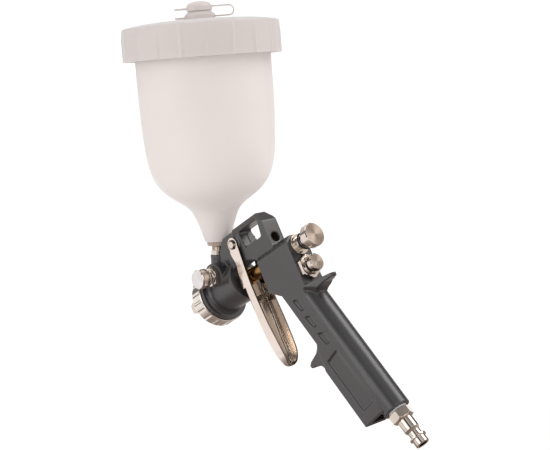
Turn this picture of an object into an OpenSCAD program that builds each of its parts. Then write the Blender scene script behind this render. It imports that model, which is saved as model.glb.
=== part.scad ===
// Gravity-feed spray gun with a plastic cup, as separate pieces.
// Millimetres. The origin is the tip of the fluid nozzle, +X runs to the rear along the
// needle, +Z is up, and the gun is symmetric about Y = 0 apart from the fan control on -Y.

/* [Head] */
// Radius of the flange behind the air cap ring
flange_r = 19.5; // [18:0.5:21]
// Distance from the nozzle tip back to the flange
flange_x = 11.8; // [11:0.2:13]
// Radius of the barrel behind the flange
barrel_r = 14.5; // [13.5:0.5:15]
// Rear face of the barrel
barrel_end_x = 43; // [42:0.5:44]
// Bore of the fluid nozzle
nozzle_bore_d = 1.4; // [1.3:0.1:1.8]
// Number of grip flutes on the air cap ring
ring_flutes = 20; // [12:1:24]

/* [Neck and loop] */
// Height of the top of the hanging loop above the needle
loop_top_z = 35.4; // [34:0.2:37]
// Half width of the loop and bridge
loop_half_w = 7.2; // [6.5:0.1:8]
// Trigger pivot, distance behind the nozzle tip
pivot_x = 53.5; // [53:0.1:54]
// Trigger pivot, height above the needle
pivot_z = 24.6; // [24:0.1:25]
// Diameter of the trigger pivot pin
pivot_d = 5; // [4:0.5:5]

/* [Valve block and grip] */
// Half width of the valve block and the flat of the grip
block_half_w = 9.8; // [9.6:0.1:10.2]
// Front face of the valve block
block_x0 = 70.8; // [70:0.1:72]
// Rear face of the valve block
block_x1 = 106.4; // [106:0.1:107]
// Drop from the needle to the air valve axis
valve_drop = 16.8; // [16.6:0.1:17]
// Rake of the grip behind the vertical, in degrees
grip_rake = 19.2; // [18:0.1:20]
// Radius of the air tube at the back of the grip
tube_r = 9.5; // [9.4:0.1:9.6]
// Length of the air tube along the grip, from the needle axis
tube_end = 136; // [134:1:140]

/* [Cup] */
// Tilt of the cup behind the vertical, in degrees
cup_tilt = 27; // [25:0.5:29]
// Radius of the cup wall below the lid
cup_r = 49; // [48:0.5:50]
// Wall thickness of the cup
cup_wall = 1.4; // [1.2:0.1:1.8]
// Distance along the cup axis to the lower edge of the lid
lid_h0 = 175; // [174:0.5:177]
// Distance along the cup axis to the upper edge of the lid
lid_h1 = 198; // [197.5:0.5:199]
// Radius of the lid over its ribs
lid_r = 57.6; // [57:0.2:59]
// Number of ribs on the lid
lid_ribs = 20; // [12:1:32]

/* [Controls] */
// Radius of the fluid control knob
fluid_knob_r = 8.4; // [8:0.1:9]
// Radius of the air control knob
air_knob_r = 6; // [5.6:0.1:6.6]
// Radius of the fan control knob
fan_knob_r = 7; // [6.5:0.1:7.5]
// Width across the flats of the air valve nut
valve_nut_af = 16; // [15:0.5:17]

/* [Air plug] */
// Width across the flats of the plug's hexagon
plug_af = 14; // [13:1:15]
// Diameter of the plug's nose
plug_nose_d = 9.6; // [9:0.1:10]

/* [Hidden] */

$fn = 64;
gap = 0.05;                 // running and assembly clearance, radial
eps = 0.2;                  // how far a cutter reaches past a face
needle_r = 1.5;
needle_tail_x = 112;
thread_r = 16.4;            // outside of the head's ring thread
thread_x0 = 5;
nozzle_thread_r = 5.4;
nozzle_end_x = 22;
packing_r = 3.4;
web_x = 47.5;               // rear face of the trigger's web
pad_x = 49.25;              // rear face of the trigger's contact pad
carrier_r = 5;
carrier_flange_r = 5.8;
carrier_x0 = pad_x + gap;
carrier_end_x = 80;
spring_r = 3.6;
bush_r = 7;
stem_r = 2;
valve_z = -valve_drop;
valve_bore_r = 5.5;
stem_head_r = 4;
stem_head_x = 92;
gallery_r = 3.5;
gallery_z = 14.2;
loop_x0 = 53.3;
loop_x1 = 88.8;
fan_x = 25.8;
fan_z = 12.1;
fan_lug_r = 9.2;
fan_lug_y = -13.5;
inlet_r = 6.5;
inlet_h = 31;               // top of the casting's inlet boss, along the cup axis
collar_h = 38.2;            // underside of the cup's collar nut
cup_h0 = 41.5;              // underside of the cup
cup_mouth_h = 190;
cup_band_r = 52;
grip_x = 87.2;              // where the tube's axis crosses the needle axis
cup_x = 11.3;               // where the cup's axis crosses the needle axis
arm_in = 8.1;               // inner and outer faces of the trigger's arms
arm_out = 9.4;
clip_y = arm_out + 0.3;     // inner face of the pivot pin's clip groove

// ---------- shared shapes ----------
module xcyl(x0, x1, r, r2 = undef) {
    translate([x0, 0, 0]) rotate([0, 90, 0]) cylinder(h = x1 - x0, r1 = r, r2 = is_undef(r2) ? r : r2);
}
module ycyl(y0, y1, r) {
    translate([0, y1, 0]) rotate([90, 0, 0]) cylinder(h = y1 - y0, r = r);
}
module xhex(x0, x1, af) {
    translate([x0, 0, 0]) rotate([0, 90, 0]) cylinder(h = x1 - x0, r = af / sqrt(3), $fn = 6);
}
// an outline in X and Z, extruded between two Y positions
module side_slab(y0, y1, points) {
    translate([0, y1, 0]) rotate([90, 0, 0]) linear_extrude(y1 - y0) polygon(points);
}
module cup_frame() {
    translate([cup_x, 0, 0]) rotate([0, cup_tilt, 0]) children();
}
// in the grip's frame -Z runs down the tube and -X faces the fingers
module grip_frame() {
    translate([grip_x, 0, 0]) rotate([0, -grip_rake, 0]) children();
}
module tube_ring(h0, h1, r_out, r_in) {
    translate([0, 0, h0]) difference() {
        cylinder(h = h1 - h0, r = r_out);
        translate([0, 0, -eps]) cylinder(h = h1 - h0 + 2 * eps, r = r_in);
    }
}
module torus(r, section_r) {
    rotate_extrude() translate([r, 0]) circle(r = section_r, $fn = 24);
}
// points of a smooth curve through the inner control points
function curve_point(a, b, c, d, t) =
    0.5 * (2 * b + (c - a) * t + (2 * a - 5 * b + 4 * c - d) * t * t
        + (3 * b - a - 3 * c + d) * t * t * t);
function curve(pts, steps) = [
    for (i = [1 : len(pts) - 3]) for (k = [0 : steps - 1])
        curve_point(pts[i - 1], pts[i], pts[i + 1], pts[i + 2], k / steps),
    pts[len(pts) - 2]];
// a round wire wound about +Z
function coil_ring(r, wire_r, a, z, sides) = [
    for (s = [0 : sides - 1]) let (b = 360 * s / sides)
        [(r + wire_r * cos(b)) * cos(a), (r + wire_r * cos(b)) * sin(a), z + wire_r * sin(b)]];
module spring(r, wire_r, length, turns) {
    per_turn = 20;
    sides = 8;
    n = turns * per_turn;
    run = length - 2 * wire_r;
    pts = [for (i = [0 : n]) each coil_ring(r, wire_r, 360 * i / per_turn, wire_r + run * i / n, sides)];
    skin = [for (i = [0 : n - 1]) for (s = [0 : sides - 1])
        let (a = i * sides + s, b = i * sides + (s + 1) % sides) [a + sides, b + sides, b, a]];
    first = [for (s = [0 : sides - 1]) s];
    last = [for (s = [sides - 1 : -1 : 0]) n * sides + s];
    polyhedron(points = pts, faces = concat(skin, [first, last]));
}

// ---------- casting ----------
module head_solid() {
    xcyl(thread_x0, flange_x + eps, thread_r);
    xcyl(flange_x, flange_x + 2.4, flange_r);
    xcyl(flange_x + 2.3, flange_x + 3.3, flange_r - 2.6, barrel_r + 0.9);
    xcyl(flange_x + 3.2, flange_x + 5.4, barrel_r + 0.9, barrel_r + 0.05);
    xcyl(flange_x + 2, barrel_end_x, barrel_r);
    cup_frame() cylinder(h = inlet_h, r = inlet_r);
    intersection() {
        cup_frame() translate([0, 0, 8]) cylinder(h = 13, r1 = 11.5, r2 = inlet_r);
        xcyl(flange_x + 0.6, barrel_end_x, 40);
    }
    translate([fan_x, 0, fan_z]) ycyl(fan_lug_y, 0, fan_lug_r);
}
module neck_solid() {
    // fin from the inlet boss back to the loop
    side_slab(-5, 5, [[24, 8], [31.8, 25.8], [36.8, 30.8], [41, 34], [56, 34], [56, 10], [43, 8]]);
    side_slab(-loop_half_w, loop_half_w, [[37, 10], [43, 19], [50, 28], [52, 29], [60, 29],
        [66, 7.8], [58, 10], [43, 9.4]]);
    translate([pivot_x, 0, pivot_z]) ycyl(0.15 - arm_in, arm_in - 0.15, 5.2);
}
module loop_solid() {
    half = loop_half_w;
    top = loop_top_z;
    intersection() {
        side_slab(-half, half, [[loop_x0, 12], [loop_x0, top], [loop_x1 - 5.5, top],
            [loop_x1, top - 8], [loop_x1, 2], [76, 1], [72, 3], [66, 7], [58, 10]]);
        translate([40, 0, 0]) rotate([90, 0, 90]) linear_extrude(60) polygon([
            [-half, -2], [-half, top - 5.5], [-half + 3, top + 0.5],
            [half - 3, top + 0.5], [half, top - 5.5], [half, -2]]);
    }
}
module loop_window() {
    side_slab(-12, 12, [[62.8, 18], [61.6, 29.4], [63, 30.6], [83.4, 30.6], [84.4, 29.2], [82.6, 19], [81.4, 18]]);
    side_slab(0, 12, [[60.6, 18], [59.6, 29.4], [61.2, 31], [80, 31], [80, 18]]);
}
module block_solid() {
    half = block_half_w;
    intersection() {
        side_slab(-half, half, [[block_x0, -20.5], [block_x0, 9], [block_x1, 9],
            [block_x1, -29.5], [96, -34], [80, -26], [73, -21.5]]);
        translate([60, 0, 0]) rotate([90, 0, 90]) linear_extrude(60) polygon([
            [-half, -40], [-half, 3.6], [-half + 1, 4.6], [-5, 8], [5, 8],
            [half - 1, 4.6], [half, 3.6], [half, -40]]);
    }
}
module grip_solid() {
    half = block_half_w - 0.05;
    // flat-sided front, below the block
    grip_frame() side_slab(-half, half, [[-14.2, -17], [-14.6, -66.4], [-17.6, -69.2], [-20, -78],
        [-22.8, -83.5], [-23.2, -130.6], [-2.6, -132.6], [1.8, -118], [3.4, -40], [9, -28], [9, -24], [4, -16]]);
    // finger spur
    grip_frame() side_slab(-7.6, 7.6, [[-14, -60], [-17, -66.4], [-22, -68.8], [-31, -69.6],
        [-33.4, -70.6], [-33.8, -72.4], [-32.6, -73.8], [-28, -75], [-24.6, -78], [-22.9, -83.5], [-14, -90]]);
    // air tube
    intersection() {
        grip_frame() translate([0, 0, -tube_end]) cylinder(h = tube_end - 33, r1 = tube_r, r2 = tube_r + 1);
        side_slab(-tube_r, tube_r, [[80, -20], [80, -140], [160, -140], [160, -20]]);
    }
    horn_solid();
}
module horn_solid() {
    half = block_half_w - 0.1;
    intersection() {
        side_slab(-12, 12, [[100, -27.6], [106, -28.2], [118, -28.4], [127, -28.8], [128.2, -29.8],
            [127, -31.6], [119, -32.4], [112.5, -34.4], [109.5, -37], [108, -42], [104, -50], [96, -40]]);
        translate([0, 0, -70]) linear_extrude(60) polygon([
            [90, -half], [106.3, -half], [126.6, -2.6], [128.2, -1.4], [128.2, 1.4],
            [126.6, 2.6], [106.3, half], [90, half]]);
        translate([90, 0, 0]) rotate([90, 0, 90]) linear_extrude(60) polygon([
            [-half, -26], [-half, -29.6], [-7.4, -32.6], [-5, -37], [-4, -50],
            [4, -50], [5, -37], [7.4, -32.6], [half, -29.6], [half, -26]]);
    }
}
module grip_recesses() {
    depth = 1.2;
    for (side = [-1, 1]) for (i = [0 : 2])
        translate([5.1 * i, 0, -14 * i]) side_slab(side * block_half_w - depth, side * block_half_w + depth,
            [[89.4, -33.6], [100.6, -34.6], [104.2, -43.4], [93.4, -42.4]]);
    for (side = [-1, 1])
        grip_frame() side_slab(side * block_half_w - depth, side * block_half_w + depth,
            [[-16.2, -80.5], [-2.3, -80.5], [-2.3, -123.4], [-16.2, -122.4]]);
    // hollow in the lower front of the grip, open at the bottom
    grip_frame() side_slab(-block_half_w + 2.4, block_half_w - 2.4,
        [[-20.8, -140], [-20.6, -92], [-15, -88], [-11.8, -92], [-11.8, -140]]);
    grip_frame() difference() {
        side_slab(-block_half_w + 2.4, block_half_w - 2.4, [[-13, -140], [-13, -122], [-4, -122], [-1, -140]]);
        translate([0, 0, -tube_end - 5]) cylinder(h = 40, r = tube_r);
    }
}
module body_bores() {
    xcyl(thread_x0 - eps, 7.5, 12.6);                                  // air annulus
    xcyl(7, nozzle_end_x + 1, nozzle_thread_r + gap);                  // nozzle seat
    xcyl(nozzle_end_x, 36, needle_r + 0.8);                            // fluid chamber
    xcyl(35, barrel_end_x + eps, packing_r + gap);                     // packing gland
    for (a = [30 : 60 : 330])
        rotate([a, 0, 0]) translate([0, 0, 9.4]) xcyl(7, 17, 1.6);     // head air drillings
    cup_frame() translate([0, 0, 12]) cylinder(h = inlet_h, r = 3);    // paint passage
    cup_frame() translate([0, 0, inlet_h - 12]) cylinder(h = 13, r = 4.2 + gap);
    translate([12, 0, 0]) rotate([0, 90 - 62, 0]) cylinder(h = 14, r = 2.2);
    translate([fan_x, 0, fan_z]) ycyl(-6, 7, 3);                        // fan valve
    translate([fan_x, 0, fan_z]) ycyl(fan_lug_y - eps, -5.5, 5 + gap);
    translate([pivot_x, 0, pivot_z]) ycyl(-20, 20, pivot_d / 2 + gap);
    translate([0, 0, gallery_z]) xcyl(fan_x + 2, loop_x1 + eps, 2.4);   // air gallery
    translate([0, 0, gallery_z]) xcyl(76, loop_x1 + eps, gallery_r);
    xcyl(66, carrier_end_x + 7, carrier_r + gap);                      // needle carrier
    xcyl(carrier_end_x + 6, block_x1 + eps, bush_r - 1 + gap);
    translate([0, 0, valve_z]) {
        xcyl(block_x0 - eps, 79, 3.4 + gap);                           // stem gland
        xcyl(78, 86, stem_r + 0.3);
        xcyl(85, block_x1 + eps, valve_bore_r + gap);                  // valve chamber
    }
    grip_frame() translate([0, 0, -tube_end - eps]) cylinder(h = 13, r = 5 + gap);
    grip_frame() translate([0, 0, -tube_end]) cylinder(h = tube_end - 22, r = 3.2);
}
module gun_body() {
    color("#4a484b") difference() {
        union() {
            head_solid();
            neck_solid();
            difference() {
                loop_solid();
                loop_window();
            }
            block_solid();
            grip_solid();
        }
        grip_recesses();
        body_bores();
    }
}
module gallery_plug() {
    color("#8c7a4e") translate([0, 0, gallery_z]) difference() {
        xcyl(76, 80, gallery_r - gap);
        xhex(78, 80 + eps, 3);
    }
}

// ---------- nozzle set ----------
module fluid_nozzle() {
    color("#c9c6c0") difference() {
        union() {
            xcyl(0, 3.2, 1.5, 2.2);
            xcyl(3.2, 6, 2.2, 4.6);
            xcyl(6, 8.5, 4.6);
            xcyl(8.5, nozzle_end_x, nozzle_thread_r);
        }
        xcyl(-eps, 1.6, nozzle_bore_d / 2);
        xcyl(1.5, 9, nozzle_bore_d / 2, 3);
        xcyl(8.9, nozzle_end_x + eps, 3);
        // paint enters through the top of the nozzle's rear
        translate([16.5, 0, 0]) rotate([0, 14, 0]) cylinder(h = 8, r = 2.2);
    }
}
module air_distributor() {
    color("#b8a878") difference() {
        xcyl(4.2, 6.9, 12.4);
        xcyl(4, 7.2, 4.6 + gap);
        for (a = [0 : 45 : 315]) rotate([a, 0, 0]) translate([0, 0, 8.6]) xcyl(4, 7.2, 1.5);
    }
}
module air_cap() {
    horn_y = 11.2;
    color("#cfc8bd") difference() {
        union() {
            xcyl(1.6, 4, 15.4);
            xcyl(-1.2, 1.7, 13.8, 14.4);
            xcyl(-2.2, -1, 7, 8.4);
            for (side = [-1, 1]) intersection() {
                translate([0, side * horn_y, 0]) rotate([side * 90, 0, 0]) translate([0, 0, -3])
                    linear_extrude(6) polygon([[1, -6], [1, 6], [-8, 4.6], [-11.2, 3], [-11.2, -3], [-8, -4.6]]);
                xcyl(-12, 2, 13.9);
            }
        }
        xcyl(-3, 0.6, 2.1);
        xcyl(0.5, 4.2, 2.6, 5.4);
        for (side = [-1, 1]) {
            translate([-8, side * 8, 0]) rotate([side * 90, 0, 0])
                translate([0, 0, -4]) cylinder(h = 9, r = 0.8);
            rotate([side * 90, 0, 0]) translate([0, 0, 5]) xcyl(-2.6, -0.4, 0.7);
        }
        for (a = [0 : 45 : 315]) rotate([a, 0, 0]) translate([0, 0, 11.2]) xcyl(1, 4.2, 1);
    }
}
module air_cap_ring() {
    color("#cfc8bd") difference() {
        union() {
            xcyl(0.2, 1.4, 19.2, 20.4);
            xcyl(1.4, 10.4, 20.4);
            xcyl(10.4, 11.5, 20.4, 19.8);
        }
        xcyl(0, 2, 14.6);
        xcyl(1.5, 5, 16);
        xcyl(4.6, 12, thread_r + gap);
        for (i = [0 : ring_flutes - 1]) rotate([360 * i / ring_flutes, 0, 0])
            translate([0, 0, 21.3]) xcyl(-1, 10.2, 1.5);
    }
}
module cap_snap_ring() {
    color("#6d6a66") difference() {
        xcyl(4.1, 4.55, 15.8);
        xcyl(4, 5, 13);
        translate([4, -1.5, -20]) cube([1, 3, 10]);
    }
}

// ---------- needle line ----------
module fluid_needle() {
    color("#d8d4cc") {
        xcyl(0.1, 1.6, nozzle_bore_d / 2 - gap);
        xcyl(1.6, 8, nozzle_bore_d / 2 - gap, needle_r);
        xcyl(8, needle_tail_x, needle_r);
    }
}
module needle_seal() {
    color("#f0f0ea") difference() {
        xcyl(36.2, 40, packing_r);
        xcyl(36, 40.2, needle_r + gap);
    }
}
module packing_nut() {
    color("#b08a3e") difference() {
        union() {
            xcyl(40.05, barrel_end_x, packing_r);
            xhex(barrel_end_x, 46.8, 10);
        }
        xcyl(40, 49, needle_r + gap);
    }
}
module needle_carrier() {
    color("#b08a3e") difference() {
        union() {
            xcyl(carrier_x0, carrier_x0 + 1.8, carrier_flange_r);
            xcyl(carrier_x0 + 1.8, carrier_end_x, carrier_r);
        }
        xcyl(carrier_x0 - eps, carrier_end_x + eps, needle_r + gap / 2);
        xcyl(carrier_end_x - 2, carrier_end_x + eps, spring_r + 0.8);
    }
}
module needle_spring() {
    color("#9a9a98") translate([carrier_end_x - 1.9, 0, 0]) rotate([0, 90, 0]) spring(spring_r, 0.5, 27, 8);
}
module fluid_bush() {
    color("#c9c0b4") difference() {
        union() {
            xcyl(90, block_x1, bush_r - 1);
            xcyl(block_x1, 108.4, 7.4);
            xcyl(108.4, 113.8, 5);
        }
        xcyl(89, 107, spring_r + 1.1);
        xcyl(106, 115, 3.4);
    }
}
module fluid_knob() {
    color("#cdbfae") difference() {
        union() {
            xcyl(105.6, 115, 3.3);
            xcyl(114, 118.2, 4.8);
            xcyl(118.2, 119.2, 5.2, fluid_knob_r);
            xcyl(119.2, 124.6, fluid_knob_r);
            xcyl(124.6, 125.3, fluid_knob_r, fluid_knob_r - 0.7);
        }
        xcyl(105, 119, needle_r + 0.3);
    }
}
module fluid_oring() {
    color("#262626") translate([113.2, 0, 0]) rotate([0, 90, 0]) torus(5.65, 0.6);
}

// ---------- trigger ----------
// a pressed channel seen from behind: two arms above, a web and two flanks below
module channel_section(half) {
    translate([30, 0, 0]) rotate([90, 0, 90]) linear_extrude(60) polygon([
        [-half, 40], [half, 40], [half, 0], [half - 0.5, -18], [half - 0.6, -38], [half - 1.8, -56],
        [half - 2.6, -63], [half - 4.4, -68.4], [half - 7.2, -70.8], [7.2 - half, -70.8], [4.4 - half, -68.4],
        [2.6 - half, -63], [1.8 - half, -56], [0.6 - half, -38], [0.5 - half, -18], [-half, 0]]);
}
module trigger_profile() {
    side_slab(-12, 12, [[48.4, pivot_z], [47.4, 16], [49.8, 12], [47.8, 4], [46.2, -7], [46.2, -44],
        [47.2, -56], [49.8, -68], [51, -70.6], [53.6, -70.6], [56, -68], [57.4, -64], [57.7, -59],
        [56.3, -38], [55.4, -19], [55.6, -7], [58.4, pivot_z]]);
    translate([pivot_x, 0, pivot_z]) ycyl(-12, 12, 5.1);
}
module trigger() {
    web_top = -6.4;
    pad_top = -2.2;
    color("#d6c2b2") difference() {
        union() {
            difference() {
                intersection() {
                    trigger_profile();
                    channel_section(arm_out);
                }
                intersection() {
                    side_slab(-12, 12, [[30, 40], [70, 40], [70, -72], [57, -67.6], [53.6, -69.2], [52, -69],
                        [51, -67.4], [48.6, -56], [web_x, -44], [web_x, web_top], [30, web_top]]);
                    channel_section(arm_in);
                }
            }
            // contact pad behind the web, pushing the needle carrier and the valve stem
            translate([web_x - eps, -4, valve_z - 3.6]) cube([pad_x - web_x + eps, 8, pad_top - valve_z + 3.6]);
        }
        translate([pivot_x, 0, pivot_z]) ycyl(-14, 14, pivot_d / 2 + gap);
        translate([44, 2.6, -36]) cube([6, 4, 1.4]);
    }
}
module trigger_pin() {
    color("#c9c0b4") translate([pivot_x, 0, pivot_z]) difference() {
        union() {
            ycyl(-clip_y - 1.1, arm_out + 0.3, pivot_d / 2);
            ycyl(arm_out + 0.15, arm_out + 1.8, 3.9);
        }
        difference() {
            ycyl(-clip_y - 0.5, -clip_y, 4);
            ycyl(-clip_y - 0.6, -clip_y + 0.1, 2);
        }
        translate([-3, arm_out + 1.1, -0.5]) cube([6, 2, 1]);
    }
}
module pin_clip() {
    color("#3c3a38") translate([pivot_x, 0, pivot_z]) difference() {
        ycyl(-clip_y - 0.45, -clip_y - 0.05, 3.5);
        ycyl(-clip_y - 1, -clip_y + 1, 2.05);
        rotate([0, 35, 0]) translate([0, -clip_y - 1, -1.5]) cube([6, 2, 3]);
    }
}

// ---------- air valve ----------
module air_valve_stem() {
    color("#d8d4cc") translate([0, 0, valve_z]) {
        xcyl(carrier_x0, stem_head_x, stem_r);
        xcyl(stem_head_x - 1, stem_head_x + 1, stem_head_r);
        xcyl(stem_head_x + 1, 97, 1.6);
    }
}
module valve_gland() {
    color("#cdbfae") translate([0, 0, valve_z]) difference() {
        union() {
            xcyl(block_x0, 75, 3.4);
            xhex(67.6, block_x0, 8);
        }
        xcyl(67, 76, stem_r + gap);
    }
}
module stem_seal() {
    color("#f0f0ea") translate([0, 0, valve_z]) difference() {
        xcyl(75.05, 78, 3.4);
        xcyl(75, 79, stem_r + gap);
    }
}
module air_valve_seat() {
    color("#b08a3e") translate([0, 0, valve_z]) difference() {
        xcyl(86.1, 90.9, valve_bore_r);
        xcyl(86, 91, stem_r + 0.6);
    }
}
module air_valve_spring() {
    color("#9a9a98") translate([stem_head_x + 1.1, 0, valve_z]) rotate([0, 90, 0]) spring(2.9, 0.4, 10.9, 3);
}
module air_valve_nut() {
    color("#cdbfae") translate([0, 0, valve_z]) difference() {
        union() {
            xcyl(100, block_x1, valve_bore_r);
            xhex(block_x1, 109.6, valve_nut_af);
            xcyl(109.6, 110.6, 6.6, 5.8);
        }
        xcyl(99.8, 108.6, stem_head_r + 0.4);
        xcyl(108.4, 111, 2.6 + gap);
    }
}
module air_spindle() {
    color("#d8d4cc") translate([0, 0, valve_z]) difference() {
        union() {
            xcyl(104.1, 112, 2.6);
            xcyl(104.1, 105.5, 3.6);
        }
        xcyl(104, 109, 1.7);
    }
}
module air_oring() {
    color("#262626") translate([111.15, 0, valve_z]) rotate([0, 90, 0]) torus(3.6, 0.5);
}
module air_knob() {
    color("#cdbfae") translate([0, 0, valve_z]) difference() {
        union() {
            xhex(111.7, 113.2, 8.6);
            xcyl(113.2, 116.6, air_knob_r);
            xcyl(116.6, 117.2, air_knob_r, air_knob_r - 0.6);
        }
        xcyl(111, 112.05, 2.6 + gap);
    }
}

// ---------- fan control ----------
module fan_gland() {
    color("#cfc8bd") translate([fan_x, 0, fan_z]) difference() {
        union() {
            ycyl(fan_lug_y, -6, 5);
            translate([0, fan_lug_y, 0]) rotate([90, 0, 0]) cylinder(h = 3.6, r = 13 / sqrt(3), $fn = 6);
            ycyl(-18.6, -16.5, 5);
        }
        ycyl(-19, -5.8, 2.2 + gap);
    }
}
module fan_spindle() {
    color("#d8d4cc") translate([fan_x, 0, fan_z]) {
        ycyl(-21, 5, 2.2);
        ycyl(5, 6.6, 2.8);
    }
}
module fan_oring() {
    color("#262626") translate([fan_x, -19.15, fan_z]) rotate([90, 0, 0]) torus(3, 0.5);
}
module fan_knob() {
    color("#d8d4d2") translate([fan_x, 0, fan_z]) difference() {
        union() {
            ycyl(-20.6, -19.7, 5.4);
            ycyl(-28, -20.6, fan_knob_r);
            ycyl(-28.6, -28, fan_knob_r - 0.5);
        }
        ycyl(-21.05, -19, 2.2 + gap);
        for (i = [0 : 35]) rotate([0, 10 * i, 0]) translate([0, 0, fan_knob_r + 0.3]) ycyl(-27.4, -21.4, 0.5);
    }
}

// ---------- cup ----------
cup_outline = [
    [8.6, 36], [9.6, 41.5], [11.4, 48], [14, 56], [17.6, 64], [22.4, 69], [28.6, 73.4],
    [36, 79.4], [41.6, 87], [45.2, 97], [47.2, 109], [48.3, 124], [48.9, 145], [cup_r, 160],
    [cup_r, 176], [cup_r, 178]];
function cup_outer() = curve(cup_outline, 3);
module cup() {
    outer = cup_outer();
    inner = [for (p = outer) if (p[1] > 44) [p[0] - cup_wall, p[1] + cup_wall * 0.8]];
    color("#e6dedb") cup_frame() rotate_extrude($fn = 96) polygon(concat(
        [[5.4, cup_h0]], outer,
        [[cup_band_r, 179], [cup_band_r, cup_mouth_h], [cup_r - cup_wall, cup_mouth_h]],
        [for (i = [len(inner) - 1 : -1 : 0]) inner[i]], [[5.4, cup_h0 + 2]]));
}
module cup_inlet() {
    color("#c9b8a6") cup_frame() difference() {
        union() {
            translate([0, 0, inlet_h - 11]) cylinder(h = 11, r = 4.2);
            translate([0, 0, inlet_h]) cylinder(h = 3.6, r = 10 / sqrt(3), $fn = 6);
            translate([0, 0, inlet_h + 3.6]) cylinder(h = collar_h - inlet_h - 3.6, r = 5.1);
            translate([0, 0, collar_h]) cylinder(h = 7.4, r = 5.3);
        }
        translate([0, 0, 18]) cylinder(h = 30, r = 3);
    }
}
module cup_collar() {
    color("#b9aaa0") cup_frame() tube_ring(collar_h, cup_h0 - gap, 8.3, 5.3 + gap);
}
module cup_filter() {
    color("#d5d8dc") cup_frame() difference() {
        union() {
            translate([0, 0, 45.7]) cylinder(h = 1.6, r = 7.2);
            translate([0, 0, 47.2]) cylinder(h = 15, r = 5.6);
        }
        translate([0, 0, 45]) cylinder(h = 16.2, r = 4.6);
        for (h = [50, 53.4, 56.8]) for (a = [0, 60, 120])
            rotate([0, 0, a]) translate([-8, 0, h]) rotate([0, 90, 0]) cylinder(h = 16, r = 1);
    }
}
module lid_gasket() {
    color("#cfcfca") cup_frame() tube_ring(cup_mouth_h + gap, cup_mouth_h + 1.6, cup_band_r - 0.4, 46.5);
}
module cup_lid() {
    skin = 2.2;
    seat = cup_mouth_h + 1.6 + gap;
    color("#d2cac6") cup_frame() difference() {
        union() {
            translate([0, 0, lid_h0]) cylinder(h = lid_h1 - lid_h0, r = lid_r - 0.8, $fn = 96);
            for (i = [0 : lid_ribs - 1]) rotate([0, 0, 360 * i / lid_ribs])
                translate([lid_r - 1.8, 0, lid_h0 + 0.3]) cylinder(h = lid_h1 - lid_h0 - 1, r = 1.8, $fn = 24);
            translate([0, 0, lid_h1]) cylinder(h = 1.2, r1 = lid_r - 0.8, r2 = lid_r - 3, $fn = 96);
            translate([0, 0, lid_h1 + 1.2]) cylinder(h = 2.4, r1 = lid_r - 3, r2 = 24, $fn = 96);
        }
        translate([0, 0, lid_h0 - eps]) cylinder(h = seat - lid_h0 + eps, r = cup_band_r + gap, $fn = 96);
        translate([0, 0, seat - eps]) cylinder(h = lid_h1 - seat - skin + 1.4, r = 46, $fn = 96);
        translate([0, 0, lid_h1 - 6]) cylinder(h = 20, r = 6 + gap);
        tube_ring(lid_h0 - eps, 189, lid_r - 3, cup_band_r + 1.2);
    }
}
module vent_collar() {
    color("#cfc6c2") cup_frame() difference() {
        union() {
            translate([0, 0, 195.7]) cylinder(h = 1.25, r = 6.8);
            translate([0, 0, 196.9]) cylinder(h = 5, r = 6);
            translate([0, 0, 201.65]) cylinder(h = 3.75, r = 11);
            translate([0, 0, 205.4]) cylinder(h = 2.4, r1 = 10.6, r2 = 8);
            rotate([0, 0, 225]) translate([9, -2, 203]) cube([9, 4, 1.2]);
        }
        translate([0, 0, 190]) cylinder(h = 30, r = 4.2);
    }
}
module vent_cap() {
    color("#cfc6c2") cup_frame() {
        translate([0, 0, 203.4]) cylinder(h = 5, r = 4.2 - gap);
        translate([0, 0, 208]) cylinder(h = 3.6, r = 9.3);
        translate([0, 0, 211.6]) cylinder(h = 2, r1 = 9.3, r2 = 7.8);
        translate([0, 0, 213.6]) cylinder(h = 1.4, r1 = 7.8, r2 = 4.6);
        rotate([0, 0, 225]) translate([8, -2, 209.4]) cube([10, 4, 1.2]);
    }
}
module vent_tether() {
    color("#cfc6c2") cup_frame() rotate([0, 0, 45]) translate([0, 2, 0]) rotate([90, 0, 0]) linear_extrude(4)
        difference() {
            union() {
                hull() {
                    translate([11.05, 203.2]) square([1, 8.4]);
                    translate([21.2, 207.4]) circle(r = 4.2);
                }
                translate([9.35, 210.3]) square([3, 1.3]);
            }
            hull() {
                translate([11, 204.6]) square([1, 5.6]);
                translate([21.2, 207.4]) circle(r = 2.9);
            }
        }
}

// ---------- air plug ----------
module plug_seal() {
    color("#b9b2a4") grip_frame() tube_ring(-tube_end - 1, -tube_end, 6.6, 5 + gap);
}
module air_plug() {
    hex_h = 6.4;
    top = -tube_end - 1 - gap;
    hex_end = top - hex_h;
    nose = plug_nose_d / 2;
    color("#cbb6a4") grip_frame() difference() {
        union() {
            translate([0, 0, hex_end]) cylinder(h = hex_h, r = plug_af / sqrt(3), $fn = 6);
            translate([0, 0, -tube_end - 1.2]) cylinder(h = 12.5, r = 5);
            translate([0, 0, hex_end - 8.2]) cylinder(h = 8.4, r = 5.4);
            translate([0, 0, hex_end - 10]) cylinder(h = 1.8, r1 = 4.3, r2 = 5.4);
            translate([0, 0, hex_end - 14.4]) cylinder(h = 4.6, r = 4.3);
            translate([0, 0, hex_end - 15.2]) cylinder(h = 1.6, r = 5.9);
            translate([0, 0, -163.4]) cylinder(h = 163.4 + hex_end - 14, r = nose);
        }
        translate([0, 0, -170]) cylinder(h = 60, r = 3.2);
    }
}

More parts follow.
